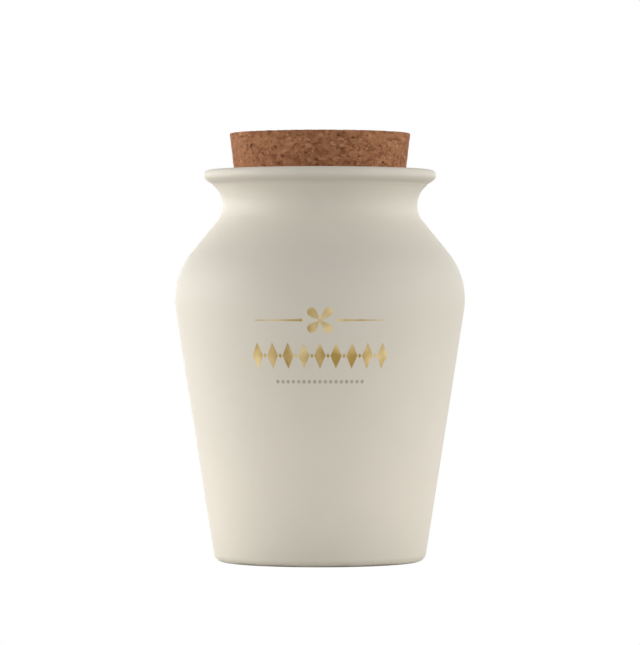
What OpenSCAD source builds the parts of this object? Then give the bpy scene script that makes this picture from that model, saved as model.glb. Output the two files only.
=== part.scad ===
// Mustard crock with a cork stopper.
//
// A small stoneware pot, turned about the Z axis: a wall that leans out from the foot, a round
// shoulder, a hollow neck and a rim with a rounded edge. A tapered cork shuts the mouth.
// The pot is opaque and shut, so it is solid below the cork. Sizes are in millimetres.
// The origin is the centre of the foot, on the table.

/* [Cork] */
// Diameter of the cork's top face
cork_d = 47.4; // [38:0.2:57]
// Height of the cork, from face to face
cork_h = 20; // [16:0.5:26]
// How far the cork stands up out of the rim
cork_proud = 9.6; // [6:0.2:12]
// Taper of the cork's side from upright, in degrees
cork_taper = 6.7; // [2:0.1:9]
// Bevel on the cork's top and bottom edges
cork_bevel = 0.4; // [0.2:0.1:1.2]

/* [Mouth] */
// Gap between the cork's side and the wall of the mouth
seat_gap = 0.05; // [0.02:0.01:0.3]
// Rounding of the mouth's edge at the rim
mouth_round = 0.7; // [0.3:0.1:1.5]
// Wall of the neck at its narrowest
neck_wall = 4; // [3:0.1:5]

/* [Rim and neck] */
// How far the rim stands out past the neck
rim_out = 4.9; // [4:0.1:6]
// Thickness of the rim's round edge
rim_t = 2.8; // [2:0.1:3.6]
// Lean of the rim's underside from upright, in degrees
rim_lean = 51; // [45:1:65]
// Radius of the hollow round the neck
hollow_r = 6.6; // [5.4:0.1:8]

/* [Body] */
// Height of the crock, from table to rim
crock_h = 102.4; // [80:0.2:130]
// Diameter of the belly at its widest
belly_d = 76; // [63:0.5:92]
// Radius of the curve between shoulder and wall
shoulder_r = 19.5; // [16:0.5:24]
// Lean of the shoulder's straight part from upright, in degrees
shoulder_lean = 39; // [34:1:44]

/* [Foot] */
// Diameter that the wall would have where it meets the table
foot_d = 55; // [45:0.5:66]
// Rounding of the foot's outer edge
foot_round = 2.4; // [0.8:0.1:3]
// Width of the ring that the crock stands on
foot_ring_w = 4.5; // [3:0.1:8]
// Depth of the hollow inside that ring
foot_hollow = 1; // [0.5:0.1:2]

/* [Hidden] */
$fn = 180;

// Overlap where a straight line runs into a disc that it touches, so that the two join cleanly.
lap = 0.002;

// Levels of the cork's two faces.
cork_top_z = crock_h + cork_proud;
cork_foot_z = cork_top_z - cork_h;

// Radius of the cork, and of the mouth that takes it, at height z.
function cork_r(z) = cork_d / 2 - (cork_top_z - z) * tan(cork_taper);
function mouth_r(z) = cork_r(z) + seat_gap;

// Point on a circle round c, of radius r, in direction a. A negative r gives the far side.
function on_circle(c, r, a) = c + r * [cos(a), sin(a)];

// Height that two circles, dx apart sideways, need between their centres for one straight line,
// leaning by a, to touch both from opposite sides. r_sum is the sum of their radii.
function tangent_rise(r_sum, dx, a) = (r_sum - dx * cos(a)) / sin(a);

// Centre of the circle that rounds an edge of a level face, at [x, z], by r. The side wall there
// leans by a over the face's edge, and side is 1 where the solid lies towards the axis.
function round_x(x, r, a, side) = x - side * r * (1 - sin(a)) / cos(a);

// Rim's round edge and the hollow of the neck. The hollow is a circle outside the wall.
rim_r = rim_t / 2;
rim_c_z = crock_h - rim_r;
hollow_z = rim_c_z - tangent_rise(hollow_r + rim_r, hollow_r + rim_r - rim_out, rim_lean);
neck_r = mouth_r(hollow_z) + neck_wall;
hollow_c = [neck_r + hollow_r, hollow_z];
rim_c = [neck_r + rim_out - rim_r, rim_c_z];

// Belly: the shoulder's straight part touches its circle and the hollow's.
belly_x = belly_d / 2 - shoulder_r;
belly_rise = tangent_rise(shoulder_r + hollow_r, hollow_c.x - belly_x, shoulder_lean);
belly_c = [belly_x, hollow_c.y - belly_rise];

// Wall: a straight line from the foot's corner that touches the belly's circle.
foot_r = foot_d / 2;
to_belly = belly_c - [foot_r, 0];
wall_lean = asin(shoulder_r / norm(to_belly)) + atan2(to_belly.x, to_belly.y);
foot_c = [round_x(foot_r, foot_round, wall_lean, 1), foot_round];

// Mouth's edge, rounded where the rim's top meets the tapered wall of the mouth.
mouth_c = [round_x(mouth_r(crock_h), mouth_round, cork_taper, -1), crock_h - mouth_round];

module disc(c, r) {
    translate(c) circle(r);
}

// Half outline of the crock with no mouth and no hollow foot. Each round edge is a disc, and the
// neck's hollow is a disc cut away; the polygon joins the points where straight lines touch them.
module crock_outline() {
    difference() {
        polygon([
            [0, 0],
            [foot_c.x, 0],
            on_circle(foot_c, foot_round - lap, -wall_lean),
            on_circle(belly_c, shoulder_r - lap, -wall_lean),
            on_circle(belly_c, shoulder_r - lap, shoulder_lean),
            on_circle(hollow_c, lap - hollow_r, shoulder_lean),
            hollow_c,
            on_circle(hollow_c, lap - hollow_r, -rim_lean),
            on_circle(rim_c, rim_r - lap, -rim_lean),
            [rim_c.x, crock_h],
            [0, crock_h]
        ]);
        disc(hollow_c, hollow_r);
    }
    disc(foot_c, foot_round);
    intersection() {
        disc(belly_c, shoulder_r);
        square([belly_d, crock_h]);
    }
    disc(rim_c, rim_r);
}

// The mouth: the cork's cone grown by the gap, opening out over the rounded edge.
module mouth_cut() {
    difference() {
        polygon([
            [0, cork_foot_z],
            [mouth_r(cork_foot_z), cork_foot_z],
            on_circle(mouth_c, lap - mouth_round, -cork_taper),
            [mouth_c.x, crock_h],
            [mouth_c.x, cork_top_z],
            [0, cork_top_z]
        ]);
        disc(mouth_c, mouth_round);
    }
}

// The hollow under the foot, with a sloping edge. It runs on below the table.
module foot_cut() {
    ring_r = foot_r - foot_ring_w;
    polygon([
        [0, -foot_hollow],
        [ring_r + foot_hollow, -foot_hollow],
        [ring_r - foot_hollow, foot_hollow],
        [0, foot_hollow]
    ]);
}

module crock() {
    color("#e3dccd")
        rotate_extrude()
            difference() {
                crock_outline();
                mouth_cut();
                foot_cut();
            }
}

module cork_stopper() {
    color("#9a6a4c")
        rotate_extrude()
            polygon([
                [0, cork_foot_z],
                [cork_r(cork_foot_z) - cork_bevel, cork_foot_z],
                [cork_r(cork_foot_z + cork_bevel), cork_foot_z + cork_bevel],
                [cork_r(cork_top_z - cork_bevel), cork_top_z - cork_bevel],
                [cork_r(cork_top_z) - cork_bevel, cork_top_z],
                [0, cork_top_z]
            ]);
}

crock();
cork_stopper();
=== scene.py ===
import itertools

import bpy
import numpy as np
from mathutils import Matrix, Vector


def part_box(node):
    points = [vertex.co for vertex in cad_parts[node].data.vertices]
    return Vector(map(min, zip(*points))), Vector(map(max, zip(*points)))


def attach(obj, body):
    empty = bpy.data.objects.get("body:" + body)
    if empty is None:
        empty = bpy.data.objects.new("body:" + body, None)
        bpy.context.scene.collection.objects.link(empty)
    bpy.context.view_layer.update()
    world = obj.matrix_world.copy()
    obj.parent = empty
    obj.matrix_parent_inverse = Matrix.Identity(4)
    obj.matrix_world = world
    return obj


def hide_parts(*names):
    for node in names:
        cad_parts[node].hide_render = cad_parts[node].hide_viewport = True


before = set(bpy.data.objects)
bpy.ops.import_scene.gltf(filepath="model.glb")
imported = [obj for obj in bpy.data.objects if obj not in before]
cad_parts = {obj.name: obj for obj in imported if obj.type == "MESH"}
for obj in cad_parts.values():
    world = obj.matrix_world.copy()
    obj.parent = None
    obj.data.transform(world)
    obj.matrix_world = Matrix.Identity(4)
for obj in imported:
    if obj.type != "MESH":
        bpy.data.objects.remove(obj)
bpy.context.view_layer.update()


# ---------------------------------------------------------------------------------------------
# Camera
# A long lens a metre away, level with the upper wall, so that the crock shows almost without
# perspective: the rim's top is just out of sight and the foot's front edge just bows down.
# Sizes here and below are in millimetres, which MM turns to metres, and angles in radians.

MM = 0.001
camera_height = 65.4
camera_distance = 1022.0
aim_height = 62.5
lens_length = 217.7
sensor_width = 36.0
seen_from = 50.0
seen_to = 50000.0

lens = bpy.data.cameras.new("long_lens")
lens.sensor_width = sensor_width
lens.lens = lens_length
lens.clip_start = seen_from * MM
lens.clip_end = seen_to * MM
camera = bpy.data.objects.new("camera", lens)
camera.location = (0.0, -camera_distance * MM, camera_height * MM)
look_down = np.arctan((camera_height - aim_height) / camera_distance)
camera.rotation_euler = (np.pi / 2 - look_down, 0.0, 0.0)
bpy.context.scene.collection.objects.link(camera)
bpy.context.scene.camera = camera
bpy.context.scene.view_settings.view_transform = "Standard"


# ---------------------------------------------------------------------------------------------
# Crock
# A small pot of pale stoneware, thrown or jiggered on a wheel and turned true at the foot, then
# dipped in a cream satin glaze, with a groove turned under the rim, where painted shade darkens
# the glaze.
# The ring it stands on is wiped bare before firing, so that it doesn't stick to the kiln shelf.

_, crock_high = (np.array(corner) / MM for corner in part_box("crock"))
cork_low, cork_high = (np.array(corner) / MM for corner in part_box("cork_stopper"))
crock_h = crock_high[2]
belly_r = crock_high[0]
cork_taper = np.radians(6.7)
solid_bevel = 0.4
# The solid cork is widest just under its top bevel.
cork_r = cork_high[0] + solid_bevel * np.tan(cork_taper)
seat_gap = 0.05
mouth_round = 0.7
neck_wall = 4.0
rim_out = 4.9
rim_round = 1.4
rim_lean = np.radians(51.0)
groove_depth = 0.22
groove_half = 0.7
groove_below_rim = 2.25
# The band under the rim whose glaze colour is painted darker, as shade under the lip:
pool_half = 1.5
pool_below_rim = 1.85
hollow_round = 6.6
shoulder_round = 19.5
shoulder_lean = np.radians(39.0)
foot_r = 27.5
foot_round = 2.4
ring_width = 4.5
foot_hollow = 1.0
wave_depth = 0.06
wipe_height = 0.35
cloud_size = 14.0
ripple_size = 2.5
ripple_depth = 0.1
grit_size = 0.5
glaze_roughness = 0.58
clay_roughness = 0.85
columns_round = 288
rim_step = 0.15
close_step = 0.2
belly_step = 0.8
longest_step = 1.3
crease = np.radians(30)


def mouth_r(z):
    """Radius of the mouth at height z: the cork's cone, with the gap round it."""
    return cork_r - (cork_high[2] - z) * np.tan(cork_taper) + seat_gap


def tangent_rise(radii, across, lean):
    """How far apart in height two circles' centres lie, when they are so far apart sideways and a
    line with that lean touches both: (sum of the radii - across cos lean) / sin lean."""
    return (radii - across * np.cos(lean)) / np.sin(lean)


def arc(centre, radius, start, end, step):
    """Points on a circle from angle start to end: centre + radius (cos a, sin a), a step apart."""
    count = max(3, int(abs(end - start) * radius / step))
    a = np.linspace(start, end, count + 1)
    return centre + radius * np.column_stack([np.cos(a), np.sin(a)])


def fill_in(points, step):
    """Adds points along straight stretches, evenly, so that none is longer than step."""
    parts = [points[:1]]
    for start, end in zip(points[:-1], points[1:]):
        count = int(np.ceil(np.linalg.norm(end - start) / step))
        parts.append(start + (end - start) * np.linspace(0, 1, count + 1)[1:, None])
    return np.vstack(parts)


def swell(z, level, half):
    """1 at the level, down to 0 at half above and below it: the square of a quarter wave's cosine."""
    return np.cos(np.clip((z - level) / half, -1, 1) * np.pi / 2) ** 2


def crock_outline():
    """Half outline as [radius, height], from the axis under the foot, up the wall, over the rim
    and down the mouth to the axis again: five arcs, the straight lines that touch them, and the
    groove under the rim taken off the radius."""
    rim_z = crock_h - rim_round
    both_round = hollow_round + rim_round
    hollow_z = rim_z - tangent_rise(both_round, both_round - rim_out, rim_lean)
    neck_r = mouth_r(hollow_z) + neck_wall
    hollow_c = np.array([neck_r + hollow_round, hollow_z])
    belly_x = belly_r - shoulder_round
    rise = tangent_rise(shoulder_round + hollow_round, hollow_c[0] - belly_x, shoulder_lean)
    belly_c = np.array([belly_x, hollow_z - rise])
    reach = belly_c - [foot_r, 0]
    wall_lean = np.arcsin(shoulder_round / np.hypot(*reach)) + np.arctan2(*reach)
    foot_c = np.array([foot_r - foot_round * (1 - np.sin(wall_lean)) / np.cos(wall_lean), foot_round])
    mouth_x = mouth_r(crock_h) + mouth_round * (1 - np.sin(cork_taper)) / np.cos(cork_taper)
    ring_r = foot_r - ring_width
    neck = np.vstack([
        arc(hollow_c, hollow_round, np.pi + shoulder_lean, np.pi - rim_lean, close_step),
        arc([neck_r + rim_out - rim_round, rim_z], rim_round, -rim_lean, np.pi / 2, rim_step),
    ])
    neck = fill_in(neck, close_step)
    neck[:, 0] -= groove_depth * swell(neck[:, 1], rim_z - groove_below_rim, groove_half)
    points = np.vstack([
        [[0, foot_hollow], [ring_r - foot_hollow, foot_hollow], [ring_r, 0]],
        arc(foot_c, foot_round, -np.pi / 2, -wall_lean, close_step),
        arc(belly_c, shoulder_round, -wall_lean, shoulder_lean, belly_step),
        neck,
        arc([mouth_x, crock_h - mouth_round], mouth_round, np.pi / 2, np.pi - cork_taper, rim_step),
        [[mouth_r(cork_low[2]), cork_low[2]], [0, cork_low[2]]],
    ])
    return fill_in(points, longest_step)


def unevenness(angle, height):
    """How far the wall lies inside the true round, from 0 to the wave depth: sines of 2, 3 and 5
    waves round the pot that drift with height, and one up it, as drying and firing leave."""
    waves = (np.sin(2 * angle + 0.031 * height) + 0.6 * np.sin(3 * angle - 0.05 * height + 1.0)
             + 0.4 * np.sin(5 * angle + 0.08 * height + 2.2) + 0.5 * np.sin(0.23 * height + 0.7))
    return wave_depth / 2 * (1 + waves / 2.5)


def lathe(outline, columns, inward):
    """Turns an outline about Z: point (i, j) is (r cos a, r sin a, z), with inward(a, z) taken off
    the radius. The outline's two ends on the axis are single points, so that the skin is closed."""
    angle = np.arange(columns) * 2 * np.pi / columns
    rings = outline[1:-1]
    grid_a, grid_z = np.broadcast_arrays(angle[None, :], rings[:, 1:])
    radius = rings[:, :1] - inward(grid_a, grid_z)
    skin = np.stack([radius * np.cos(grid_a), radius * np.sin(grid_a), grid_z], axis=-1)
    points = np.vstack([skin.reshape(-1, 3), [0, 0, outline[0, 1]], [0, 0, outline[-1, 1]]])
    at = np.arange(skin.shape[0] * columns).reshape(-1, columns)
    after = np.roll(at, -1, axis=1)
    quads = np.stack([at[:-1], after[:-1], after[1:], at[1:]], axis=-1).reshape(-1, 4)
    first, last = len(points) - 2, len(points) - 1
    below = np.column_stack([np.full(columns, first), after[0], at[0]])
    above = np.column_stack([np.full(columns, last), at[-1], after[-1]])
    return points, quads.tolist() + below.tolist() + above.tolist()


def piece(name, points, faces, material, sharp_from=np.pi, **attributes):
    """A smooth mesh object, with sharp edges where faces turn by more than that angle. Each
    attribute has one number for each point."""
    mesh = bpy.data.meshes.new(name)
    mesh.from_pydata((points * MM).tolist(), [], faces)
    mesh.shade_smooth()
    mesh.set_sharp_from_angle(angle=sharp_from)
    for key, values in attributes.items():
        mesh.attributes.new(key, "FLOAT", "POINT").data.foreach_set("value", values.astype(np.float32))
    mesh.materials.append(material)
    made = bpy.data.objects.new(name, mesh)
    bpy.context.scene.collection.objects.link(made)
    return made


def linear(colour):
    """An sRGB hex colour as linear red, green, blue and 1."""
    parts = np.array([int(colour[i:i + 2], 16) for i in (1, 3, 5)]) / 255
    return (*np.where(parts <= 0.04045, parts / 12.92, ((parts + 0.055) / 1.055) ** 2.4), 1.0)


def add(tree, kind, inputs=None, **settings):
    """Adds a node with its settings. Each input is a socket to link from, or a value."""
    made = tree.nodes.new(kind)
    for name, value in settings.items():
        setattr(made, name, value)
    for name, value in (inputs or {}).items():
        if isinstance(value, bpy.types.NodeSocket):
            tree.links.new(value, made.inputs[name])
        else:
            made.inputs[name].default_value = value
    return made


def satin_glaze():
    """Cream satin glaze on pale stoneware: a soft, even sheen with no sharp highlight, a breath of
    cloudiness in its colour, painted shade in a band under the rim, and dry, sandy, greyer clay
    where the ring is wiped bare."""
    material = bpy.data.materials.new("satin_glaze_on_stoneware")
    material.use_nodes = True
    tree = material.node_tree
    tree.nodes.clear()
    place = add(tree, "ShaderNodeTexCoord").outputs["Object"]
    glaze = add(tree, "ShaderNodeAttribute", attribute_name="glaze").outputs["Fac"]
    clouds = add(tree, "ShaderNodeTexNoise", {"Vector": place, "Scale": 1 / (cloud_size * MM),
                                              "Detail": 3.0})
    cream = add(tree, "ShaderNodeMix", {"Factor": clouds.outputs["Fac"], "A": linear("#E6DFD2"),
                                        "B": linear("#E1DBCC")}, data_type="RGBA")
    # Painted shade under the rim: a greyer glaze colour where the band's attribute is high.
    pool = add(tree, "ShaderNodeAttribute", attribute_name="pool").outputs["Fac"]
    pooled = add(tree, "ShaderNodeMix", {"Factor": pool, "A": cream.outputs["Result"],
                                         "B": linear("#D7D0C3")}, data_type="RGBA")
    grit = add(tree, "ShaderNodeTexNoise", {"Vector": place, "Scale": 1 / (grit_size * MM),
                                            "Detail": 4.0})
    clay = add(tree, "ShaderNodeMix", {"Factor": grit.outputs["Fac"], "A": linear("#B0A898"),
                                       "B": linear("#CEC7BA")}, data_type="RGBA")
    colour = add(tree, "ShaderNodeMix", {"Factor": glaze, "A": clay.outputs["Result"],
                                         "B": pooled.outputs["Result"]}, data_type="RGBA")
    rough = add(tree, "ShaderNodeMapRange", {"Value": glaze, "To Min": clay_roughness,
                                            "To Max": glaze_roughness})
    ripple = add(tree, "ShaderNodeTexNoise", {"Vector": place, "Scale": 1 / (ripple_size * MM),
                                              "Detail": 2.0})
    skin = add(tree, "ShaderNodeBump", {"Height": ripple.outputs["Fac"], "Strength": 0.05,
                                        "Distance": ripple_depth * MM})
    shader = add(tree, "ShaderNodeBsdfPrincipled", {
        "Base Color": colour.outputs["Result"], "Roughness": rough.outputs["Result"],
        "Normal": skin.outputs["Normal"], "IOR": 1.5})
    add(tree, "ShaderNodeOutputMaterial", {"Surface": shader.outputs["BSDF"]})
    return material


outline = crock_outline()
crock_points, crock_faces = lathe(outline, columns_round, unevenness)
crock_rho = np.hypot(crock_points[:, 0], crock_points[:, 1])
crock_angle = np.arctan2(crock_points[:, 1], crock_points[:, 0])
# The wiped edge wavers round the ring, as the sponge leaves it.
wiped_edge = wipe_height * (1 + 0.34 * np.sin(5 * crock_angle) + 0.23 * np.sin(13 * crock_angle + 1))
bare = (crock_points[:, 2] < wiped_edge) & (crock_rho > foot_r - ring_width - foot_hollow)
# Painted shade: the glaze is coloured darker in a band under the rim, where shade falls.
pool = swell(crock_points[:, 2], crock_h - rim_round - pool_below_rim, pool_half)
crock = piece("glazed_crock", crock_points, crock_faces, satin_glaze(), sharp_from=crease,
              glaze=1.0 - bare, pool=pool)
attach(crock, "root")
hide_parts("crock")


# ---------------------------------------------------------------------------------------------
# Cork
# A tapered stopper of agglomerated cork: bark ground to granules of up to three millimetres,
# pressed with a little binder and turned to a cone. Granules differ in tone, some seams between
# them stay open, and a few crumbs have come away at the surface and the edges.

cork_bevel = 0.2
side_columns = 800
side_step = 0.19
shown_below_rim = 1.0
hidden_rings = 6
granule = 1.7
small_granule = 0.8
flatten = np.array([1.0, 1.0, 2.1])
sway_size = 0.7
sway_depth = 0.6
broken_share = 0.5
opening_size = 0.9
opening_from = 0.42
opening_contrast = 5.0
seam_width = 0.26
seam_depth = 0.12
# How much darker open seams are painted, as painted shade in these gaps:
seam_shade = 0.62
pit_size = 1.1
pit_share = 0.3
pit_growth = 1.6
pit_edge = 0.12
pit_depth = 0.22
# How much darker pits are painted, as painted shade in these hollows:
pit_painted_shade = 0.42
graze_size = 0.55
graze_depth = 0.05
proud_depth = 0.03
proud_share = 0.15
tone_middle = 0.51
tone_spread = 0.12
light_tone = 0.11
dark_tone = 0.1
odd_share = 0.1
speckle = 0.6
cell_size = 0.45
cell_depth = 0.08


def scatter(cell, salt):
    """A number from 0 to 1 for each cell of whole numbers: its indices multiplied and mixed."""
    i = cell.astype(np.int64)
    mixed = (i[..., 0] * 73856093) ^ (i[..., 1] * 19349663) ^ (i[..., 2] * 83492791)
    mixed = (mixed ^ (salt * 2654435761)) & 0xFFFFFFFF
    for _ in range(2):
        mixed = (((mixed >> 16) ^ mixed) * 0x45D9F3B) & 0xFFFFFFFF
    return ((mixed >> 16) ^ mixed) / 0xFFFFFFFF


def cloud(points, size, salt):
    """Smooth noise from 0 to 1: the numbers at the corners of a point's cell, blended smoothly."""
    cell = np.floor(points / size)
    f = points / size - cell
    f = f * f * (3 - 2 * f)
    return sum(np.prod(np.where(corner, f, 1 - f), axis=-1) * scatter(cell + corner, salt)
               for corner in itertools.product((0, 1), repeat=3))


def crumbs(points, size, salt):
    """Granules as the cells round scattered seeds, one seed to a cube of that size. Gives, for each
    point, the way to its own seed, how much farther the next seed is, and its own seed's number."""
    cell = np.floor(points / size)
    nearest = np.full(len(points), np.inf)
    second = nearest.copy()
    number = np.zeros(len(points))
    for step in itertools.product((-1, 0, 1), repeat=3):
        near = cell + step
        seed = near + np.stack([scatter(near, salt + k) for k in range(3)], axis=-1)
        away = np.linalg.norm(seed - points / size, axis=-1)
        closer = away < nearest
        second = np.where(closer, nearest, np.minimum(second, away))
        number = np.where(closer, scatter(near, salt + 3), number)
        nearest = np.where(closer, away, nearest)
    return nearest * size, (second - nearest) * size, number


def cork_skin():
    """The stopper's closed skin and its outward directions. The top is a square grid bent to a
    disc, with four equal sides' worth of columns, so that it meets the side with no pole; rings
    then run down the cone, closely where it shows and loosely in the mouth, to one flat face."""
    n = side_columns // 4
    u, v = np.meshgrid(*[np.linspace(-1, 1, n + 1)] * 2, indexing="ij")
    wide = np.abs(u) > np.abs(v)
    radius = np.where(wide, np.abs(u), np.abs(v))
    bearing = np.where(wide, np.where(u > 0, 0, np.pi) + np.pi / 4 * v / np.where(u == 0, 1, u),
                       np.where(v > 0, 0.5, -0.5) * np.pi - np.pi / 4 * u / np.where(v == 0, 1, v))
    top_r = cork_r - cork_bevel
    top = np.stack([radius * top_r * np.cos(bearing), radius * top_r * np.sin(bearing),
                    np.full_like(u, cork_high[2])], axis=-1)
    at = np.arange((n + 1) ** 2).reshape(n + 1, n + 1)
    edge = np.concatenate([at[:-1, 0], at[-1, :-1], at[:0:-1, -1], at[0, :0:-1]])
    quads = np.stack([at[:-1, :-1], at[1:, :-1], at[1:, 1:], at[:-1, 1:]], axis=-1).reshape(-1, 4)
    hidden_from = crock_h - shown_below_rim
    shown = np.arange(cork_high[2] - cork_bevel, hidden_from, -side_step)
    hidden = np.linspace(hidden_from, cork_low[2] + cork_bevel, hidden_rings)
    levels = np.concatenate([shown, hidden, [cork_low[2]]])
    radii = cork_r - (cork_high[2] - levels) * np.tan(cork_taper)
    radii[-1] -= cork_bevel
    turn = np.arctan2(top.reshape(-1, 3)[edge, 1], top.reshape(-1, 3)[edge, 0])
    side = np.stack([radii[:, None] * np.cos(turn), radii[:, None] * np.sin(turn),
                     np.repeat(levels[:, None], len(turn), axis=1)], axis=-1)
    rows = np.vstack([edge, (n + 1) ** 2 + np.arange(side.shape[0] * len(turn)).reshape(-1, len(turn))])
    after = np.roll(rows, -1, axis=1)
    walls = np.stack([rows[:-1], rows[1:], after[1:], after[:-1]], axis=-1).reshape(-1, 4)
    outward_top = np.zeros((n + 1, n + 1, 3))
    outward_top[..., 2] = 1
    slope = np.stack([np.cos(cork_taper) * np.cos(turn), np.cos(cork_taper) * np.sin(turn),
                      np.full_like(turn, -np.sin(cork_taper))], axis=-1)
    outward = np.vstack([outward_top.reshape(-1, 3), np.tile(slope, (side.shape[0], 1))])
    outward[edge] = outward[edge] + slope
    outward /= np.linalg.norm(outward, axis=1, keepdims=True)
    points = np.vstack([top.reshape(-1, 3), side.reshape(-1, 3)])
    return points, outward, quads.tolist() + walls.tolist() + [rows[-1][::-1].tolist()]


def pressed_cork():
    """Agglomerated cork: dull, warm brown granules from bark-dark to straw, each with its own tone
    and a fine speckle of cells, and painted shade in open seams and pits. Tone and that shade come
    with the mesh. Real cells are a few hundredths of a millimetre across, and are drawn in clumps
    ten times coarser, so that they show."""
    material = bpy.data.materials.new("pressed_cork_granules")
    material.use_nodes = True
    tree = material.node_tree
    tree.nodes.clear()
    place = add(tree, "ShaderNodeTexCoord").outputs["Object"]
    tone = add(tree, "ShaderNodeAttribute", attribute_name="tone").outputs["Fac"]
    seam = add(tree, "ShaderNodeAttribute", attribute_name="seam").outputs["Fac"]
    cells = add(tree, "ShaderNodeTexNoise", {"Vector": place, "Scale": 1 / (cell_size * MM),
                                             "Detail": 4.0, "Roughness": 0.65})
    speckled = add(tree, "ShaderNodeMath", {0: cells.outputs["Fac"], 1: speckle, 2: tone},
                   operation="MULTIPLY_ADD")
    level = add(tree, "ShaderNodeMath", {0: speckled.outputs[0], 1: speckle / 2}, operation="SUBTRACT")
    low = add(tree, "ShaderNodeMapRange", {"Value": level.outputs[0], "From Max": 0.5})
    high = add(tree, "ShaderNodeMapRange", {"Value": level.outputs[0], "From Min": 0.5})
    dark = add(tree, "ShaderNodeMix", {"Factor": low.outputs["Result"], "A": linear("#7A4B31"),
                                       "B": linear("#AA7450")}, data_type="RGBA")
    light = add(tree, "ShaderNodeMix", {"Factor": high.outputs["Result"], "A": dark.outputs["Result"],
                                        "B": linear("#DBA57E")}, data_type="RGBA")
    # Painted shade: open seams and pits are coloured a dark brown.
    colour = add(tree, "ShaderNodeMix", {"Factor": seam, "A": light.outputs["Result"],
                                         "B": linear("#5A3018")}, data_type="RGBA")
    grain = add(tree, "ShaderNodeBump", {"Height": cells.outputs["Fac"], "Strength": 0.4,
                                         "Distance": cell_depth * MM})
    shader = add(tree, "ShaderNodeBsdfPrincipled", {
        "Base Color": colour.outputs["Result"], "Normal": grain.outputs["Normal"],
        "Roughness": 0.85, "IOR": 1.3})
    add(tree, "ShaderNodeOutputMaterial", {"Surface": shader.outputs["BSDF"]})
    return material


# The granules' cells are bent a little, so that their sides aren't flat. Half of them are broken
# into small ones. Seams stay open only in places, and the lightest granules stand a little proud.
cork_points, cork_outward, cork_faces = cork_skin()
sway = np.stack([cloud(cork_points, sway_size, salt=40 + k) - 0.5 for k in range(3)], axis=-1)
bent = cork_points * flatten + sway_depth * sway
_, gap, number = crumbs(bent, granule, salt=1)
_, small_gap, small_number = crumbs(bent, small_granule, salt=11)
broken = number < broken_share
number = np.where(broken, small_number, (number - broken_share) / (1 - broken_share))
gap = np.where(broken, np.minimum(gap, small_gap), gap)
opening = cloud(cork_points, opening_size, salt=50)
opened = np.clip((opening - opening_from) * opening_contrast, 0, 1)
seam = opened * np.clip(1 - gap / seam_width, 0, 1)
pit_away, _, pit_number = crumbs(bent, pit_size, salt=60)
pit_rank = pit_number - (1 - pit_share)
pit = np.clip(1 + (pit_growth * pit_rank - pit_away) / pit_edge, 0, 1) * (pit_rank > 0)
grazed = graze_depth * cloud(cork_points, graze_size, salt=70)
low = proud_depth * (number < 1 - proud_share)
sunk = grazed + low + seam_depth * seam + pit_depth * pit
cork_points = cork_points - cork_outward * sunk[:, None]
odd = light_tone * (number > 1 - odd_share) - dark_tone * (number < odd_share)
tone = tone_middle + tone_spread * (number - 0.5) + odd
# Open seams and pits are also painted darker: painted shade in the recesses.
cork = piece("pressed_cork_stopper", cork_points, cork_faces, pressed_cork(), tone=tone,
             seam=np.clip(seam_shade * seam + pit_painted_shade * pit, 0, 1))
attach(cork, "root")
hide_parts("cork_stopper")


# ---------------------------------------------------------------------------------------------
# Print
# A plain kitchen ornament fired onto the glaze: a four-petalled mustard flower between two
# rules and a band of lozenges in gold, and a row of grey seeds under them. The gold is a film
# of a few thousandths of a millimetre; it is drawn thicker here, so that it has an edge.

film = 0.03
sunk_film = 0.05
print_radius = 36.6
flower_z = 63.2
band_z = 54.2
seeds_z = 47.6
petal_length = 3.6
petal_width = 3.0
petal_out = 2.3
heart_size = 1.1
rule_length = 11.4
rule_width = 0.6
rule_out = 11.2
bud_out = 4.9
bud_length = 1.5
bud_width = 1.0
lozenge_pitch = 4.15
lozenge_height = 6.6
lozenge_width = 2.9
spacer_height = 1.3
spacer_width = 0.9
lozenges_aside = 4
seed_pitch = 1.42
seed_size = 0.95
seeds_aside = 8
gold_drift = 7.0
grey_drift = 1.2
blunt = 0.02
wall_top = 76.0
wall = outline[np.argmax(outline[:, 1] > foot_round):np.argmax(outline[:, 1] > wall_top)]


def on_wall(x, z, lift):
    """Wraps a flat drawing round the front of the crock: x runs round it, z up, lift outwards."""
    turn = -np.pi / 2 + x / print_radius
    radius = np.interp(z, wall[:, 1], wall[:, 0]) - unevenness(turn % (2 * np.pi), z) + lift
    return np.stack([radius * np.cos(turn), radius * np.sin(turn), z], axis=-1)


def blade(centre, length, width, shape, turn=0.0, along=14, across=4):
    """A thin closed plate along a line turned from the x axis. Its half width at t, from 0 to 1
    along the line, is width / 2 times shape(t), and its ends are never quite points. Its two
    skins lie just over and just in the glaze."""
    t, s = np.meshgrid(np.linspace(0, 1, along + 1), np.linspace(-1, 1, across + 1), indexing="ij")
    forward = (t - 0.5) * length
    aside = s * np.maximum(shape(t), blunt) * width / 2
    x = centre[0] + forward * np.cos(turn) - aside * np.sin(turn)
    z = centre[1] + forward * np.sin(turn) + aside * np.cos(turn)
    count = t.size
    at = np.arange(count).reshape(t.shape)
    quads = np.stack([at[:-1, :-1], at[1:, :-1], at[1:, 1:], at[:-1, 1:]], axis=-1).reshape(-1, 4)
    edge = np.concatenate([at[:-1, 0], at[-1, :-1], at[:0:-1, -1], at[0, :0:-1]])
    after = np.roll(edge, -1)
    sides = np.column_stack([edge, edge + count, after + count, after])
    points = np.vstack([on_wall(x, z, film).reshape(-1, 3), on_wall(x, z, -sunk_film).reshape(-1, 3)])
    return points, np.vstack([quads, quads[:, ::-1] + count, sides])


def joined(plates):
    """One set of points and faces from many."""
    starts = np.cumsum([0] + [len(points) for points, _ in plates[:-1]])
    return (np.vstack([points for points, _ in plates]),
            np.vstack([faces + start for (_, faces), start in zip(plates, starts)]).tolist())


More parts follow.
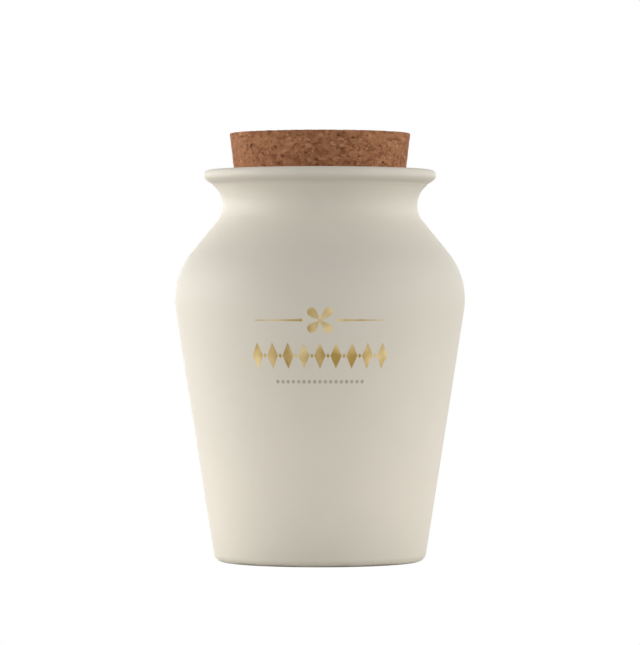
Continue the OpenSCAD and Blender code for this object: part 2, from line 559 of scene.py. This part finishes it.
def petal(t):
    """Narrow at its foot, broad and round near its tip."""
    return np.sqrt(np.maximum(1 - (2 * t - 1) ** 2, 0)) * (0.35 + 0.65 * t)


def lozenge(t):
    """Widest in its middle, with straight sides to both ends."""
    return 1 - np.abs(2 * t - 1)


def round_dot(t):
    """A circle."""
    return np.sqrt(np.maximum(1 - (2 * t - 1) ** 2, 0))


def rule(t):
    """A line that tapers away at its outer end."""
    return 1 - 0.8 * t


def gold_leaf():
    """Fired gold lustre: a warm, half-bright metal film whose tone drifts where it is thinner."""
    material = bpy.data.materials.new("fired_gold_lustre")
    material.use_nodes = True
    tree = material.node_tree
    tree.nodes.clear()
    place = add(tree, "ShaderNodeTexCoord").outputs["Object"]
    drift = add(tree, "ShaderNodeTexNoise", {"Vector": place, "Scale": 1 / (gold_drift * MM),
                                             "Detail": 2.0})
    spread = add(tree, "ShaderNodeMapRange", {"Value": drift.outputs["Fac"], "From Min": 0.35,
                                              "From Max": 0.65})
    colour = add(tree, "ShaderNodeMix", {"Factor": spread.outputs["Result"], "A": linear("#C7A65E"),
                                         "B": linear("#FFEAB4")}, data_type="RGBA")
    shader = add(tree, "ShaderNodeBsdfPrincipled", {
        "Base Color": colour.outputs["Result"], "Metallic": 1.0, "Roughness": 0.5})
    add(tree, "ShaderNodeOutputMaterial", {"Surface": shader.outputs["BSDF"]})
    return material


def grey_enamel():
    """Fired grey print: matt, a little lighter where the screen left less colour."""
    material = bpy.data.materials.new("fired_grey_enamel")
    material.use_nodes = True
    tree = material.node_tree
    tree.nodes.clear()
    place = add(tree, "ShaderNodeTexCoord").outputs["Object"]
    patches = add(tree, "ShaderNodeTexNoise", {"Vector": place, "Scale": 1 / (grey_drift * MM),
                                               "Detail": 2.0})
    colour = add(tree, "ShaderNodeMix", {"Factor": patches.outputs["Fac"], "A": linear("#A59C88"),
                                         "B": linear("#CCC4B2")}, data_type="RGBA")
    shader = add(tree, "ShaderNodeBsdfPrincipled", {"Base Color": colour.outputs["Result"],
                                                    "Roughness": 0.6, "IOR": 1.5})
    add(tree, "ShaderNodeOutputMaterial", {"Surface": shader.outputs["BSDF"]})
    return material


diagonals = np.pi / 4 + np.pi / 2 * np.arange(4)
petals = [blade((petal_out * np.cos(a), flower_z + petal_out * np.sin(a)), petal_length, petal_width,
                petal, a) for a in diagonals]
heart = [blade((0, flower_z), heart_size, heart_size, round_dot)]
rules = [blade((side * rule_out, flower_z), rule_length, rule_width, rule, turn, along=24)
         for side, turn in ((-1, np.pi), (1, 0.0))]
buds = [blade((side * bud_out, flower_z), bud_length, bud_width, lozenge) for side in (-1, 1)]
lozenges = [blade((lozenge_pitch * k, band_z), lozenge_height, lozenge_width, lozenge, np.pi / 2)
            for k in range(-lozenges_aside, lozenges_aside + 1)]
spacers = [blade((lozenge_pitch * (k + 0.5), band_z), spacer_height, spacer_width, lozenge, np.pi / 2)
           for k in range(-lozenges_aside, lozenges_aside)]
gold = piece("gold_ornament", *joined(petals + heart + rules + buds + lozenges + spacers), gold_leaf(),
             sharp_from=crease)
seeds = [blade((seed_pitch * k, seeds_z), seed_size, seed_size, round_dot, along=8)
         for k in range(-seeds_aside, seeds_aside + 1)]
grey = piece("grey_seed_row", *joined(seeds), grey_enamel(), sharp_from=crease)
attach(gold, "root")
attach(grey, "root")


# ---------------------------------------------------------------------------------------------
# Table and light
# A white table in a white tent, with a sheet of light under the table's top that is masked off
# where the crock stands. Lamps outside the tent make soft bright patches on its walls: a strong
# one on the left, a broad one on the right, and others behind, so that the front stays calm.
# The lamps' numbers and the ring's edges weren't laid out by hand: a separate fitting program
# chose them, and the strengths were then scaled and rounded.

table_drop = 0.02
table_reach = 4000.0
glow_from = 50.0
glow_to = 80.0
glow_strength = 0.57
lamps = {
    "left": dict(azimuth=270, height=0, focus=8, strength=6.0),
    "right": dict(azimuth=90, height=0, focus=2, strength=2.05),
    "behind": dict(azimuth=180, height=-15, focus=6, strength=3.75),
    "behind_left": dict(azimuth=240, height=-15, focus=6, strength=2.8),
    "high_behind_left": dict(azimuth=210, height=30, focus=8, strength=0.5),
    "high_front_right": dict(azimuth=30, height=30, focus=8, strength=0.85),
}


def light_table():
    """Matt white board that glows, a little warmly, in a ring round the crock. Seen directly it is
    pure white, as the lit tent behind it is."""
    material = bpy.data.materials.new("matt_white_board")
    material.use_nodes = True
    tree = material.node_tree
    tree.nodes.clear()
    place = add(tree, "ShaderNodeTexCoord").outputs["Object"]
    away = add(tree, "ShaderNodeVectorMath", {0: place}, operation="LENGTH").outputs["Value"]
    outside = add(tree, "ShaderNodeMath", {0: away, 1: glow_from * MM}, operation="GREATER_THAN")
    inside = add(tree, "ShaderNodeMath", {0: away, 1: glow_to * MM}, operation="LESS_THAN")
    ring = add(tree, "ShaderNodeMath", {0: outside.outputs[0], 1: inside.outputs[0]},
               operation="MULTIPLY")
    glowing = add(tree, "ShaderNodeMath", {0: ring.outputs[0], 1: glow_strength},
                  operation="MULTIPLY")
    board = add(tree, "ShaderNodeBsdfDiffuse", {"Color": linear("#F0F0EE")})
    glow = add(tree, "ShaderNodeEmission", {"Color": linear("#FFF6F3"),
                                            "Strength": glowing.outputs[0]})
    lit = add(tree, "ShaderNodeAddShader", {0: board.outputs[0], 1: glow.outputs[0]})
    white = add(tree, "ShaderNodeEmission", {"Strength": 1.0})
    seen = add(tree, "ShaderNodeLightPath").outputs["Is Camera Ray"]
    either = add(tree, "ShaderNodeMixShader", {0: seen, 1: lit.outputs[0], 2: white.outputs[0]})
    add(tree, "ShaderNodeOutputMaterial", {"Surface": either.outputs[0]})
    return material


def tent_light():
    """Light from all round: patches that fall off as the cosine from their middles, raised to a
    power, so that a higher focus is a smaller patch. A lamp's azimuth and height are in degrees,
    and azimuth is 0 in front and 90 on the right."""
    world = bpy.data.worlds.new("light_tent")
    world.use_nodes = True
    tree = world.node_tree
    tree.nodes.clear()
    direction = add(tree, "ShaderNodeTexCoord").outputs["Generated"]
    total = 0.0
    for name, lamp in lamps.items():
        turn, rise = np.radians(lamp["azimuth"]), np.radians(lamp["height"])
        middle = (np.sin(turn) * np.cos(rise), -np.cos(turn) * np.cos(rise), np.sin(rise))
        cosine = add(tree, "ShaderNodeVectorMath", {0: direction, 1: middle},
                     operation="DOT_PRODUCT")
        facing = add(tree, "ShaderNodeMath", {0: cosine.outputs["Value"], 1: 0.0},
                     operation="MAXIMUM")
        focused = add(tree, "ShaderNodeMath", {0: facing.outputs[0], 1: lamp["focus"]},
                      operation="POWER")
        added = add(tree, "ShaderNodeMath", {0: focused.outputs[0], 1: lamp["strength"], 2: total},
                    operation="MULTIPLY_ADD", label=name)
        total = added.outputs[0]
    seen = add(tree, "ShaderNodeLightPath").outputs["Is Camera Ray"]
    strength = add(tree, "ShaderNodeMix", {"Factor": seen, "A": total, "B": 1.0})
    light = add(tree, "ShaderNodeBackground", {"Color": linear("#FFFFFF"),
                                               "Strength": strength.outputs["Result"]})
    add(tree, "ShaderNodeOutputWorld", {"Surface": light.outputs[0]})
    return world


# The table's top lies a hair under the foot, so that the two faces don't coincide.
square = np.array([[-1, -1, 0], [1, -1, 0], [1, 1, 0], [-1, 1, 0]])
table = piece("table", table_reach * square - [0, 0, table_drop], [[0, 1, 2, 3]], light_table())
bpy.context.scene.world = tent_light()
